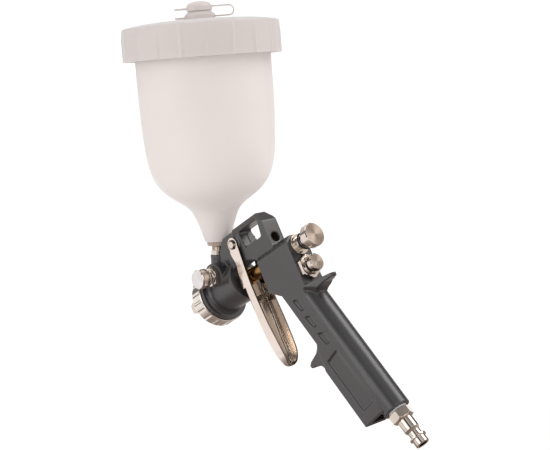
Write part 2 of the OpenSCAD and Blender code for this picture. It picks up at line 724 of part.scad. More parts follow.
gun_body();
gallery_plug();
fluid_nozzle();
air_distributor();
air_cap();
air_cap_ring();
cap_snap_ring();
fluid_needle();
needle_carrier();
needle_seal();
packing_nut();
needle_spring();
fluid_bush();
fluid_knob();
fluid_oring();
trigger();
trigger_pin();
pin_clip();
air_valve_stem();
valve_gland();
stem_seal();
air_valve_seat();
air_valve_spring();
air_valve_nut();
air_spindle();
air_oring();
air_knob();
fan_gland();
fan_spindle();
fan_oring();
fan_knob();
cup_inlet();
cup();
cup_collar();
cup_filter();
lid_gasket();
cup_lid();
vent_collar();
vent_cap();
vent_tether();
plug_seal();
air_plug();
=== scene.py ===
"""Looks for the spray gun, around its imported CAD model.

Everything is in metres in the part's own frame: the origin is the fluid nozzle's tip, +X runs
to the rear along the needle and +Z is up. Lengths below are written in millimetres and scaled
by MM where a mesh is made.
"""
import math

import bmesh
import bpy
from mathutils import Euler, Matrix, Vector


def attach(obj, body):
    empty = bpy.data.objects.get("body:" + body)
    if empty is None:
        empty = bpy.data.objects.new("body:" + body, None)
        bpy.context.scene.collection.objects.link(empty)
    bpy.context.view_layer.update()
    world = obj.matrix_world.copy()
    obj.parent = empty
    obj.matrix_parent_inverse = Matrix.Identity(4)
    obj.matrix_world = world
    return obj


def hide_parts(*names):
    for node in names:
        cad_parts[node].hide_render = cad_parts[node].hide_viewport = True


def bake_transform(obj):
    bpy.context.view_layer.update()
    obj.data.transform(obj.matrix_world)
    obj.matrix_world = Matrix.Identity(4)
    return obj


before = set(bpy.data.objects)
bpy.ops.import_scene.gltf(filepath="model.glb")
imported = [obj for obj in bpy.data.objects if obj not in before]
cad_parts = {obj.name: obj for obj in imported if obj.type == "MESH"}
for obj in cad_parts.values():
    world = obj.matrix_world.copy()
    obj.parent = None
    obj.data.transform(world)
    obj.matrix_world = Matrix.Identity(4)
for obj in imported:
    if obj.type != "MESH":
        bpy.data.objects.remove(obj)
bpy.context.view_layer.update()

MM = 0.001
scene = bpy.context.scene


# ---------------------------------------------------------------- frames
def along(origin, rot_deg):
    """A local frame: origin in millimetres, then XYZ Euler angles as the CAD source turns it."""
    turn = Euler([math.radians(a) for a in rot_deg], "XYZ").to_matrix().to_4x4()
    return Matrix.Translation(Vector(origin) * MM) @ turn


VALVE_Z = -16.8
FAN_X, FAN_Z = 25.8, 12.1
PIVOT_X, PIVOT_Z = 53.5, 24.6
CUP_LEAN, GRIP_RAKE = 27, 19.2

NEEDLE = along((0, 0, 0), (0, 90, 0))                # local +Z runs to the rear
AIR_VALVE = along((0, 0, VALVE_Z), (0, 90, 0))       # the same, lower down
FAN = along((FAN_X, 0, FAN_Z), (90, 0, 0))           # local +Z runs to -Y
CUP = along((11.3, 0, 0), (0, CUP_LEAN, 0))          # local +Z runs up the cup
GRIP = along((87.2, 0, 0), (0, -GRIP_RAKE, 0))       # local -Z runs down the grip
PIVOT = along((PIVOT_X, 0, PIVOT_Z), (90, 0, 0))     # local Z is the trigger's hinge


# ---------------------------------------------------------------- node materials
class Nodes:
    """A short way to write a material's node tree."""

    def __init__(self, tree):
        self.tree = tree

    def add(self, kind, inputs=(), **settings):
        node = self.tree.nodes.new(kind)
        for key, value in settings.items():
            setattr(node, key, value)
        for key, value in dict(inputs).items():
            self.plug(value, node.inputs[key])
        return node

    def plug(self, value, socket):
        if isinstance(value, bpy.types.NodeSocket):
            self.tree.links.new(value, socket)
        elif isinstance(value, bpy.types.Node):
            self.tree.links.new(value.outputs[0], socket)
        else:
            socket.default_value = value

    def ramp(self, value, stops):
        node = self.add("ShaderNodeValToRGB", {"Fac": value})
        points = node.color_ramp.elements
        while len(points) < len(stops):
            points.new(0.5)
        for point, (place, colour) in zip(points, stops):
            point.position = place
            point.color = colour if len(colour) == 4 else (*colour, 1)
        return node.outputs["Color"]

    def math(self, operation, a, b=0.0):
        return self.add("ShaderNodeMath", {0: a, 1: b}, operation=operation).outputs[0]

    def mix(self, factor, a, b):
        node = self.add("ShaderNodeMix", data_type="RGBA")
        self.plug(factor, node.inputs[0])
        self.plug(a, node.inputs[6])
        self.plug(b, node.inputs[7])
        return node.outputs[2]

    def noise(self, scale, detail):
        inputs = {"Scale": scale, "Detail": detail, "Vector": self.place()}
        return self.add("ShaderNodeTexNoise", inputs).outputs["Fac"]

    def place(self):
        return self.add("ShaderNodeTexCoord").outputs["Object"]

    def bump(self, height, distance, **under):
        """A bump; under may hold the Normal that it lies on."""
        inputs = {"Height": height, "Distance": distance, **under}
        return self.add("ShaderNodeBump", inputs).outputs["Normal"]


def new_material(name):
    """An empty material, its node helper and its output node."""
    made = bpy.data.materials.new(name)
    made.use_nodes = True
    made.node_tree.nodes.clear()
    nodes = Nodes(made.node_tree)
    output = nodes.add("ShaderNodeOutputMaterial")
    return made, nodes, output


def principled(nodes, output, **inputs):
    """A principled shader as the surface; an underscore stands for a space in an input's name."""
    named = {key.replace("_", " "): value for key, value in inputs.items()}
    nodes.plug(nodes.add("ShaderNodeBsdfPrincipled", named), output.inputs["Surface"])


SIDE_COLOUR = (0.84, 0.77, 0.72, 1)
SIDE_GLOSS = 0.1
RING_PITCH = 0.35


def turned_rings(nodes, centre, axes):
    """Concentric waves about a line through centre, given on the two axes across it."""
    apart = nodes.add("ShaderNodeSeparateXYZ", {0: nodes.place()})
    squares = []
    for letter, offset in zip(axes, centre):
        away = nodes.math("SUBTRACT", apart.outputs[letter], offset * MM)
        squares.append(nodes.math("MULTIPLY", away, away))
    radius = nodes.math("SQRT", nodes.math("ADD", squares[0], squares[1]))
    return nodes.math("SINE", nodes.math("MULTIPLY", radius, 2 * math.pi / (RING_PITCH * MM)))


def end_face(nodes, centre, axes):
    """How far a surface faces along the turning axis, and the brushing direction round it."""
    axis = [letter for letter in "XYZ" if letter not in axes][0]
    hub = [dict(zip(axes, centre)).get(letter, 0) * MM for letter in "XYZ"]
    away = nodes.add("ShaderNodeVectorMath", {0: nodes.place(), 1: hub}, operation="SUBTRACT")
    spin = nodes.add("ShaderNodeVectorMath", {0: [letter == axis for letter in "XYZ"], 1: away},
                     operation="CROSS_PRODUCT")
    normal = nodes.add("ShaderNodeNewGeometry").outputs["True Normal"]
    facing = nodes.add("ShaderNodeSeparateXYZ", {0: normal}).outputs[axis]
    end = nodes.ramp(nodes.math("ABSOLUTE", facing), [(0.75, (0, 0, 0)), (0.95, (1, 1, 1))])
    return end, spin.outputs["Vector"]


def metal(name, light, dark, roughness, grain_depth=2e-7, rings=None, blotch=90.0, waves=None):
    """Plated or turned metal: cloudy tint, uneven gloss and fine scratches.

    rings, (centre, axes), gives a turned piece a brushed end face with bright plain sides;
    waves, (scale, depth), gives the slow swell of pressed sheet.
    """
    made, nodes, output = new_material(name)
    cloud = nodes.noise(blotch, 4.0)
    height = nodes.noise(2500.0, 2.0)
    colour = nodes.ramp(cloud, [(0.32, dark), (0.68, light)])
    spread = nodes.math("MULTIPLY", nodes.math("SUBTRACT", cloud, 0.5), 0.14)
    gloss = nodes.math("ADD", spread, roughness)
    brushed = {}
    if rings:
        end, around = end_face(nodes, *rings)
        colour = nodes.mix(end, SIDE_COLOUR, colour)
        duller = nodes.math("MULTIPLY", end, nodes.math("SUBTRACT", gloss, SIDE_GLOSS))
        gloss = nodes.math("ADD", duller, SIDE_GLOSS)
        brushed = {"Anisotropic": nodes.math("MULTIPLY", end, 0.8), "Tangent": around}
        wave = turned_rings(nodes, *rings)
        height = nodes.math("ADD", nodes.math("MULTIPLY", wave, 0.8), height)
    normal = nodes.bump(height, grain_depth)
    if waves:
        scale, depth = waves
        normal = nodes.bump(nodes.noise(scale, 1.0), depth, Normal=normal)
    principled(nodes, output, Base_Color=colour, Metallic=1.0, Roughness=gloss, Normal=normal,
               **brushed)
    return made


def plain(name, colour, roughness, sheen=0.0):
    """A moulded or rubbery surface with slight colour variation and a fine texture."""
    made, nodes, output = new_material(name)
    vary = 0.12
    darker = [c * (1 - vary) for c in colour]
    lighter = [min(1.0, c * (1 + vary)) for c in colour]
    tint = nodes.ramp(nodes.noise(75.0, 3.0), [(0.3, darker), (0.7, lighter)])
    normal = nodes.bump(nodes.noise(900.0, 2.0), 1e-5)
    principled(nodes, output, Base_Color=tint, Roughness=roughness, Normal=normal,
               Sheen_Weight=sheen)
    return made


def painted_casting():
    """Satin anthracite paint: orange peel, paler edges for wear and a painted highlight, painted
    shade in the hollows.
    """
    made, nodes, output = new_material("painted_casting")
    peel = nodes.noise(420.0, 2.0)
    speck = nodes.noise(2600.0, 2.0)
    cloud = nodes.noise(28.0, 4.0)
    paint = nodes.ramp(cloud, [(0.3, (0.016, 0.0155, 0.017)), (0.7, (0.023, 0.022, 0.025))])
    edge = nodes.add("ShaderNodeNewGeometry").outputs["Pointiness"]
    # Paler on sharp edges: partly wear, partly a painted highlight.
    edge_wear_and_highlight = nodes.ramp(edge, [(0.50, (0, 0, 0)), (0.60, (1, 1, 1))])
    edge_wear_and_highlight = nodes.math("MULTIPLY", edge_wear_and_highlight, 0.55)
    colour = nodes.mix(edge_wear_and_highlight, paint, (0.075, 0.072, 0.075, 1))
    # Painted shade: darker in the hollows, where less light reaches.
    painted_hollow_shade = nodes.ramp(edge, [(0.38, (1, 1, 1)), (0.49, (0, 0, 0))])
    colour = nodes.mix(nodes.math("MULTIPLY", painted_hollow_shade, 0.35), colour, (0.009, 0.008, 0.008, 1))
    gloss = nodes.math("ADD", nodes.math("MULTIPLY", cloud, 0.12), 0.30)
    height = nodes.math("ADD", peel, nodes.math("MULTIPLY", speck, 0.25))
    normal = nodes.bump(height, 5e-5)
    principled(nodes, output, Base_Color=colour, Roughness=gloss, Normal=normal, IOR=1.72,
               Coat_Weight=0.4, Coat_Roughness=0.3)
    return made


def milky(name, colour, through, share):
    """Translucent polyethylene: part of the light is scattered back and part comes through."""
    made, nodes, output = new_material(name)
    cloud = nodes.noise(22.0, 3.0)
    pale = nodes.ramp(cloud, [(0.3, [c * 0.97 for c in colour]), (0.7, colour)])
    normal = nodes.bump(nodes.noise(260.0, 2.0), 3e-5)
    skin = nodes.add("ShaderNodeBsdfPrincipled", {
        "Base Color": pale, "Roughness": 0.32, "Normal": normal,
        "Sheen Weight": 1.0, "Sheen Roughness": 0.4})
    glow = nodes.add("ShaderNodeBsdfTranslucent", {"Color": (*through, 1), "Normal": normal})
    both = nodes.add("ShaderNodeMixShader", {0: share, 1: skin, 2: glow})
    nodes.plug(both, output.inputs["Surface"])
    return made


NICKEL = metal("nickel_plate", (0.84, 0.77, 0.71), (0.74, 0.66, 0.59), 0.10)
TRIGGER_NICKEL = metal("pressed_nickel", (0.95, 0.88, 0.83), (0.86, 0.77, 0.70), 0.13, blotch=60.0,
                       waves=(55.0, 4e-4))
# The cap ring: a lighter copy of the nickel plate, painted light.
BRIGHTENED_RING_NICKEL = metal("ring_nickel_painted_light", (0.96, 0.91, 0.87), (0.89, 0.83, 0.78), 0.12)
# The inside of the trigger's channel: a darker copy of the pressed nickel, painted shade.
SHADED_INNER_NICKEL = metal("pressed_nickel_inside_painted_shade", (0.76, 0.68, 0.61), (0.62, 0.54, 0.47), 0.17,
                     blotch=60.0)
# The pad behind the trigger's web: darkened nickel, painted shade.
SHADED_PAD_NICKEL = metal("pad_nickel_painted_shade", (0.36, 0.29, 0.23), (0.22, 0.17, 0.13), 0.22)
# The trigger sheet's rim: dark nickel, a painted dark reflection along the edge.
DARK_EDGE_REFLECTION_NICKEL = metal("nickel_edge_painted_reflection", (0.20, 0.16, 0.13), (0.11, 0.085, 0.07), 0.30)
# The fluid and air knobs' end faces are darker copies of the turned nickel: painted shade.
DARKENED_TURNED = metal("turned_nickel_painted_dark_end", (0.41, 0.345, 0.295), (0.33, 0.275, 0.235), 0.28,
               rings=((0, 0), "YZ"), grain_depth=4e-7)
DARKENED_AIR_TURNED = metal("turned_nickel_lower_painted_dark_end", (0.46, 0.40, 0.355), (0.39, 0.33, 0.285), 0.24,
                   rings=((0, VALVE_Z), "YZ"), grain_depth=4e-7)
# The fan knob's end face is a bluish white copy of the turned nickel: a painted reflection.
BRIGHTENED_FAN_TURNED = metal("turned_nickel_side_painted_bright_end", (0.90, 0.91, 0.93), (0.80, 0.80, 0.81), 0.24,
                   rings=((FAN_X, FAN_Z), "XZ"), grain_depth=6e-7)
BRASS = metal("brass", (0.50, 0.30, 0.11), (0.30, 0.16, 0.05), 0.24, grain_depth=5e-7)
STEEL = metal("ground_steel", (0.48, 0.45, 0.42), (0.33, 0.30, 0.27), 0.25)
DARK_STEEL = metal("blackened_steel", (0.12, 0.11, 0.10), (0.05, 0.045, 0.04), 0.38)
RUBBER = plain("nitrile_rubber", (0.02, 0.02, 0.02), 0.6)
PTFE = plain("ptfe", (0.78, 0.78, 0.75), 0.45)
BROWN = plain("brown_collar", (0.42, 0.33, 0.27), 0.25, sheen=0.1)
MESH = plain("filter_plastic", (0.62, 0.64, 0.68), 0.5)
PAINT = painted_casting()
CUP_PLASTIC = milky("cup_plastic", (0.95, 0.90, 0.87), (1.0, 0.97, 0.95), 0.40)
LID_PLASTIC = milky("lid_plastic", (0.78, 0.72, 0.69), (0.90, 0.85, 0.82), 0.30)

for node, look in {
    "gallery_plug": BRASS, "fluid_nozzle": STEEL, "air_distributor": BRASS, "air_cap": NICKEL,
    "cap_snap_ring": DARK_STEEL, "fluid_needle": STEEL, "needle_seal": PTFE,
    "packing_nut": BRASS, "fluid_oring": RUBBER, "trigger_pin": NICKEL,
    "pin_clip": DARK_STEEL, "air_valve_stem": STEEL, "valve_gland": DARK_STEEL,
    "stem_seal": PTFE, "air_valve_seat": BRASS, "air_spindle": STEEL,
    "air_oring": RUBBER, "fan_spindle": STEEL, "fan_oring": RUBBER,
    "cup_filter": MESH, "lid_gasket": RUBBER, "plug_seal": PTFE,
}.items():
    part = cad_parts[node]
    part.data.materials.clear()
    part.data.materials.append(look)


# ---------------------------------------------------------------- mesh building
def finish_piece(name, bm, look, body, replaced=(), angle=40):
    """Turns a bmesh into a piece of the model, welded, shaded smooth and riding on its body."""
    bmesh.ops.remove_doubles(bm, verts=bm.verts, dist=1e-7)
    bmesh.ops.dissolve_degenerate(bm, edges=bm.edges, dist=1e-7)
    bmesh.ops.recalc_face_normals(bm, faces=bm.faces)
    mesh = bpy.data.meshes.new(name)
    bm.to_mesh(mesh)
    bm.free()
    return mesh_piece(name, mesh, look, body, replaced, angle)


def mesh_piece(name, mesh, look, body, replaced, angle):
    """Links a mesh as a piece; edges sharper than the angle stay sharp in shading."""
    mesh.polygons.foreach_set("use_smooth", [True] * len(mesh.polygons))
    mesh.set_sharp_from_angle(angle=math.radians(angle))
    mesh.materials.clear()
    mesh.materials.append(look)
    piece = bpy.data.objects.new(name, mesh)
    scene.collection.objects.link(piece)
    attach(piece, body)
    if replaced:
        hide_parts(*replaced)
    return piece


def weighted(piece):
    """Keeps flat faces flat in shading beside small rounded edges."""
    smooth = piece.modifiers.new("weighted", "WEIGHTED_NORMAL")
    smooth.keep_sharp = True


def eased_edges(piece, width, angle=30):
    """Rounds the edges sharper than the angle."""
    bevel = piece.modifiers.new("edges", "BEVEL")
    bevel.width, bevel.segments, bevel.limit_method = width * MM, 2, "ANGLE"
    bevel.angle_limit = math.radians(angle)


def rounded(points, radius, closed=True):
    """A profile with its corners rounded; a third number gives a point its own radius."""
    steps = 3
    nearly_straight = math.radians(172)
    made = []
    count = len(points)
    for i, point in enumerate(points):
        own = point[2] if len(point) > 2 else radius
        here = Vector(point[:2])
        if not closed and i in (0, count - 1) or own == 0:
            made.append(here)
            continue
        before = Vector(points[i - 1][:2]) - here
        after = Vector(points[(i + 1) % count][:2]) - here
        turn = before.angle(after, math.pi)
        if turn > nearly_straight:
            made.append(here)
            continue
        reach = min(own / math.tan(turn / 2), before.length * 0.45, after.length * 0.45)
        start = here + before.normalized() * reach
        end = here + after.normalized() * reach
        for k in range(steps + 1):
            t = k / steps
            made.append(start * (1 - t) ** 2 + here * 2 * t * (1 - t) + end * t ** 2)
    return [(p[0], p[1]) for p in made]


def swept(bm, profile, place, segments=96, shape=None, closed=True):
    """Turns a profile of (distance along local Z, radius) about local Z.

    shape(angle, distance, radius) may change the radius, for flutes, ribs and hexagons.
    """
    rings = []
    for s in range(segments):
        angle = 2 * math.pi * s / segments
        ring = []
        for z, r in profile:
            real = shape(angle, z, r) if shape and r > 0 else r
            point = Vector((real * math.cos(angle), real * math.sin(angle), z)) * MM
            ring.append(bm.verts.new(place @ point))
        rings.append(ring)
    spans = len(profile) if closed else len(profile) - 1
    for s in range(segments):
        a, b = rings[s], rings[(s + 1) % segments]
        for i in range(spans):
            j = (i + 1) % len(profile)
            bm.faces.new((a[i], a[j], b[j], b[i]))


def lathe(name, profile, place, look, body, replaced, edge=0.15, closed=True, **options):
    """A turned piece from its profile, with its corners rounded by the edge radius."""
    bm = bmesh.new()
    swept(bm, rounded(profile, edge, closed), place, closed=closed, **options)
    weighted(finish_piece(name, bm, look, body, replaced))


def off_centre(angle, count, r):
    """Arc length at radius r from the nearest of count evenly spaced lines along a turned part."""
    step = 2 * math.pi / count
    return ((angle + step / 2) % step - step / 2) * r


def hexagon(across_flats):
    """The radius limit of a hexagon with a corner at angle 0, for swept()."""
    def shape(angle, _z, r):
        part = angle % (math.pi / 3) - math.pi / 6
        return min(r, across_flats / 2 / math.cos(part))
    return shape


def chamfered_hex(z0, z1, across_flats, chamfer):
    """Profile points of a hexagon's outside; the chamfer cuts its corners at the ends."""
    corner = across_flats / math.sqrt(3)
    face = across_flats / 2 * 0.985
    between = face + (corner - face) * 0.6
    return [(z0, face), (z0 + chamfer * 0.5, between), (z0 + chamfer, corner),
            (z1 - chamfer, corner), (z1 - chamfer * 0.5, between), (z1, face)]


def extruded(bm, outline, place, y0, y1):
    """A closed outline in local X and Z between two local Y positions."""
    sides = [[bm.verts.new(place @ (Vector((x, y, z)) * MM)) for x, z in outline]
             for y in (y0, y1)]
    count = len(outline)
    for i in range(count):
        j = (i + 1) % count
        bm.faces.new((sides[0][i], sides[0][j], sides[1][j], sides[1][i]))
    bm.faces.new(sides[0][::-1])
    bm.faces.new(sides[1])


def joined_rings(bm, rings):
    """A tube over a row of rings of corners, closed at both ends."""
    count = len(rings[0])
    for a, b in zip(rings, rings[1:]):
        for k in range(count):
            n = (k + 1) % count
            bm.faces.new((a[k], a[n], b[n], b[k]))
    bm.faces.new(rings[0][::-1])
    bm.faces.new(rings[-1])


def loose_piece(name, bm, look):
    bmesh.ops.recalc_face_normals(bm, faces=bm.faces)
    mesh = bpy.data.meshes.new(name)
    bm.to_mesh(mesh)
    bm.free()
    mesh.polygons.foreach_set("use_smooth", [True] * len(mesh.polygons))
    mesh.materials.append(look)
    piece = bpy.data.objects.new(name, mesh)
    scene.collection.objects.link(piece)
    return piece


def curve_through(points, steps):
    """A smooth curve through the inner points, as the CAD source draws the cup."""
    made = []
    for i in range(1, len(points) - 2):
        a, b, c, d = (Vector(points[i + k]) for k in (-1, 0, 1, 2))
        for k in range(steps):
            t = k / steps
            made.append(0.5 * (2 * b + (c - a) * t + (2 * a - 5 * b + 4 * c - d) * t ** 2
                               + (3 * b - a - 3 * c + d) * t ** 3))
    made.append(Vector(points[-2]))
    return [(p[0], p[1]) for p in made]


# ---------------------------------------------------------------- casting
def round_skins(bm):
    """True-round sleeves over the turned parts of the casting, so no facets show."""
    swept(bm, [(7.8, 13), (7.8, 16.4), (11.8, 16.4), (11.8, 19.52), (14.2, 19.52),
               (14.2, 17.0), (14.5, 16.2), (15.1, 15.4), (16.0, 14.85), (17.2, 14.54),
               (43.02, 14.54), (43.02, 13)], NEEDLE, segments=160)
    swept(bm, [(16, 5), (16, 6.54), (31.02, 6.54), (31.02, 5)], CUP, segments=96)
    swept(bm, [(6.2, 5.3), (6.2, 9.23), (13.52, 9.23), (13.52, 5.3)], FAN, segments=96)

    grip_half_width = 9.52

    def flat_sided(angle, _z, r):
        return min(r, grip_half_width / max(abs(math.sin(angle)), 1e-6))
    swept(bm, [(-136.02, 5.2), (-136.02, 9.52), (-33, 10.52), (-33, 5.2)], GRIP,
          segments=160, shape=flat_sided)
    swept(bm, [(-7.97, 2.7), (-7.97, 5.22), (7.97, 5.22), (7.97, 2.7)], PIVOT, segments=96)


def casting():
    """The casting's soft edges and fillets: the CAD shape remeshed finely, then eased."""
    voxel, passes = ((0.5, 4))
    bm = bmesh.new()
    bm.from_mesh(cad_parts["gun_body"].data)
    bmesh.ops.remove_doubles(bm, verts=bm.verts, dist=1e-6)
    round_skins(bm)
    bmesh.ops.recalc_face_normals(bm, faces=bm.faces)
    rough = bpy.data.meshes.new("casting_rough")
    bm.to_mesh(rough)
    bm.free()
    work = bpy.data.objects.new("casting_work", rough)
    scene.collection.objects.link(work)
    remesh = work.modifiers.new("voxels", "REMESH")
    remesh.mode, remesh.voxel_size = "VOXEL", voxel * MM
    ease = work.modifiers.new("ease", "SMOOTH")
    ease.factor, ease.iterations = 0.5, passes
    thin = work.modifiers.new("thin", "DECIMATE")
    thin.ratio = 0.5
    shaped = bpy.data.meshes.new_from_object(
        work.evaluated_get(bpy.context.evaluated_depsgraph_get()))
    shaped.name = "casting"
    bpy.data.objects.remove(work)
    mesh_piece("casting", shaped, PAINT, "gun", ("gun_body",), 60)


casting()


# ---------------------------------------------------------------- trigger
def lerp_table(table, z):
    """The value at z between the rows of a table of (z, value)."""
    for (z0, v0), (z1, v1) in zip(table, table[1:]):
        if z0 <= z <= z1:
            t = (z - z0) / (z1 - z0)
            return v0 + (v1 - v0) * t
    return table[0][1] if z < table[0][0] else table[-1][1]


# The trigger's side view and half width in the gun's X and Y at heights Z.
TRIGGER_FRONT = [(-70.7, 52.0), (-69.6, 50.6), (-68, 49.7), (-62, 48.1), (-56, 47.1),
                 (-50, 46.55), (-44, 46.3), (-7, 46.3), (-2, 46.7), (4, 47.9), (8, 49.0),
                 (11.5, 49.7), (14, 49.2), (17, 48.2), (20, 48.0), (24.6, 48.45)]
TRIGGER_REAR = [(-70.7, 53.4), (-69.6, 54.8), (-68, 56.0), (-64, 57.35), (-59, 57.65),
                (-50, 57.1), (-38, 56.3), (-19, 55.4), (-7, 55.6), (5, 56.5), (24.6, 58.35)]
TRIGGER_HALF = [(-70.7, 2.2), (-69.6, 3.9), (-68.4, 5.0), (-63, 6.8), (-56, 7.6),
                (-38, 8.8), (-18, 8.9), (0, 9.35), (30, 9.38)]
WEB_TOP = -7.4
TRIGGER_SHEET = 1.25
TRIGGER_BEND = 3.2
TRIGGER_HEAD = 5.05


def trigger_row(z):
    """One cross-section of the trigger's outside: the near arm's rear edge round to the far's."""
    front, rear = lerp_table(TRIGGER_FRONT, z), lerp_table(TRIGGER_REAR, z)
    half = lerp_table(TRIGGER_HALF, z)
    if z > 20:
        reach = math.sqrt(max(TRIGGER_HEAD ** 2 - (z - PIVOT_Z) ** 2, 0.0)) * 0.999
        front, rear = min(PIVOT_X - reach, PIVOT_X - 0.1), max(PIVOT_X + reach, PIVOT_X + 0.1)
    corner = min(TRIGGER_BEND, half * 0.5, (rear - front) * 0.5)
    side = [(rear + (front + corner - rear) * t, half) for t in (0, 0.25, 0.5, 0.75, 1)]
    if z < WEB_TOP:
        turns = [math.radians(90 * k / 4) for k in (1, 2, 3)]
        bend = [(front + corner * (1 - math.sin(a)), half - corner * (1 - math.cos(a)))
                for a in turns]
        front_y = half - corner
        web = [(front, front_y * t) for t in (0.5, 0, -0.5)]
    else:
        bend = [(front + corner * (1 - k / 4), half) for k in (1, 2, 3)]
        front_y = half
        web = []
    near = side + bend + [(front, front_y)]
    far = [(x, -y) for x, y in reversed(near)]
    return [(x, -y) for x, y in near], [(x, -y) for x, y in web], [(x, -y) for x, y in far]


def trigger():
    """The pressed channel: two arms above, joined by the front web below."""
    levels = [-70.7, -70.2, -69.6, -68.6, -67.2, -65, -62, -58, -53, -48, -43, -38, -33, -28,
              -23, -18, -13, -9.5, -7.6, -7.2, -5.5, -2, 2, 5, 8, 10, 12, 14.5, 17.5, 20,
              22, 24, 26, 27.6, 28.7, 29.4, 29.64]
    bm = bmesh.new()
    grid = []
    for z in levels:
        near, web, far = trigger_row(z)
        grid.append([[bm.verts.new(Vector((x, y, z)) * MM) for x, y in run]
                     for run in (near, web, far)])
    for lower, upper in zip(grid, grid[1:]):
        if lower[1] and upper[1]:
            runs = [(sum(lower, []), sum(upper, []))]
        else:
            runs = [(lower[0], upper[0]), (lower[2], upper[2])]
        for low, high in runs:
            for i in range(len(low) - 1):
                bm.faces.new((low[i], low[i + 1], high[i + 1], high[i]))
    bm.faces.new(sum(grid[0], []))
    piece = finish_piece("trigger_shell", bm, TRIGGER_NICKEL, "trigger", ("trigger",), angle=180)
    sheet = piece.modifiers.new("sheet", "SOLIDIFY")
    sheet.thickness, sheet.offset = TRIGGER_SHEET * MM, -1
    sheet.use_even_offset = True
    # The rim takes the painted dark reflection.
    piece.data.materials.append(DARK_EDGE_REFLECTION_NICKEL)
    # The inside faces take the painted shade.
    piece.data.materials.append(SHADED_INNER_NICKEL)
    sheet.material_offset_rim, sheet.material_offset = 1, 2
    eased_edges(piece, 0.3, 50)
    smooth = piece.modifiers.new("smooth", "SUBSURF")
    smooth.levels = smooth.render_levels = 2


trigger()


def trigger_pad():
    """The raised pad behind the web that pushes the needle sleeve and the valve stem."""
    bm = bmesh.new()
    outline = rounded([(47.0, -20.3), (49.2, -20.3), (49.2, -2.3), (47.9, -2.3), (47.0, -6)], 0.6)
    extruded(bm, outline, Matrix(), -3.9, 3.9)
    piece = finish_piece("trigger_pad", bm, SHADED_PAD_NICKEL, "trigger")
    eased_edges(piece, 0.4)
    weighted(piece)


trigger_pad()

# ---------------------------------------------------------------- turned metal
lathe("needle_sleeve", [(49.3, 1.55), (49.3, 5.8), (51.1, 5.8), (51.1, 5.0), (54, 5.0),
                        (54.3, 4.7), (54.9, 4.7), (55.2, 5.0), (80, 5.0), (80, 1.55)],
      NEEDLE, BRASS, "needle", ("needle_carrier",))
lathe("fluid_neck", [(90, 4.75), (90, 6.0), (106.4, 6.0), (106.4, 7.4), (108.4, 7.4),
                     (108.4, 5.0), (113.8, 5.0), (113.8, 3.45), (106, 3.45), (106, 4.75)],
      NEEDLE, NICKEL, "gun", ("fluid_bush",), edge=0.25)
lathe("fluid_cap", [(105.6, 1.85), (105.6, 3.25), (114, 3.25), (114, 4.8), (118.1, 4.8, 0.4),
                    (118.9, 7.9, 0.6), (119.6, 8.4), (123.6, 8.4, 0.1), (123.8, 8.1, 0.1),
                    (124.1, 8.1, 0.1), (124.3, 8.35, 0.1), (124.7, 8.3), (125.3, 7.8),
                    (125.3, 0, 0), (119, 0, 0), (119, 1.85)],
      NEEDLE, DARKENED_TURNED, "fluid_knob", ("fluid_knob",), closed=False)
lathe("valve_nut_hex", [(100, 4.4), (100, 5.5), (106.4, 5.5)]
      + chamfered_hex(106.4, 109.6, 16, 0.5)
      + [(109.6, 6.6), (110.6, 5.8), (110.6, 2.7), (108.5, 2.7), (108.5, 4.4)],
      AIR_VALVE, NICKEL, "gun", ("air_valve_nut",), segments=144, shape=hexagon(16), edge=0.1)
lathe("air_cap_knob", [(111.7, 2.65), (111.7, 4.3), (113.2, 4.3), (113.2, 6.0), (116.6, 6.0),
                       (117.2, 5.4), (117.2, 0, 0), (112.05, 0, 0), (112.05, 2.65)],
      AIR_VALVE, DARKENED_AIR_TURNED, "air_knob", ("air_knob",), closed=False)
lathe("fan_gland_hex", [(6, 2.3), (6, 5.0), (13.5, 5.0)] + chamfered_hex(13.55, 17.1, 13, 0.5)
      + [(17.1, 5.0), (18.6, 5.0), (18.6, 2.3)],
      FAN, NICKEL, "gun", ("fan_gland",), segments=144, shape=hexagon(13), edge=0.15)


def knurl(count, depth, low, high):
    """Straight knurling between two distances along the knob."""
    def shape(angle, z, r):
        if low < z < high:
            return r - depth * (0.5 + 0.5 * math.cos(count * angle)) ** 2
        return r
    return shape


lathe("fan_knob_grip", [(19.7, 2.3), (19.7, 5.4), (20.6, 5.4), (20.6, 6.7), (21.0, 7.0)]
      + [(21.3 + 0.6 * k, 7.0, 0) for k in range(11)]
      + [(27.7, 7.0), (28.6, 6.5), (28.6, 0, 0), (21.05, 0, 0), (21.05, 2.3)],
      FAN, BRIGHTENED_FAN_TURNED, "fan_knob", ("fan_knob",), segments=360,
      shape=knurl(60, 0.3, 21.2, 27.5), closed=False)


GRIP_COUNT = 20


def ring_flutes(angle, z, r):
    """Scooped grip flutes, cut from the ring's front edge but not its rear lip."""
    scoop, hub = 1.5, 21.3
    rim, lip = 19, 10.25
    across = off_centre(angle, GRIP_COUNT, hub)
    if r < rim or z > lip or abs(across) >= scoop:
        return r
    return min(r, hub - math.sqrt(scoop ** 2 - across ** 2))


lathe("cap_ring", [(0.2, 14.65), (0.2, 19.2), (0.8, 20.1), (1.5, 20.4), (10.2, 20.4, 0),
                  (10.3, 20.4, 0), (11.0, 20.4, 0), (11.4, 20.2, 0), (11.5, 19.9, 0), (11.5, 16.5),
                  (4.6, 16.5), (4.6, 16.0), (1.5, 16.0), (1.5, 14.65)],
      NEEDLE, BRIGHTENED_RING_NICKEL, "cap_ring", ("air_cap_ring",), segments=480, shape=ring_flutes)

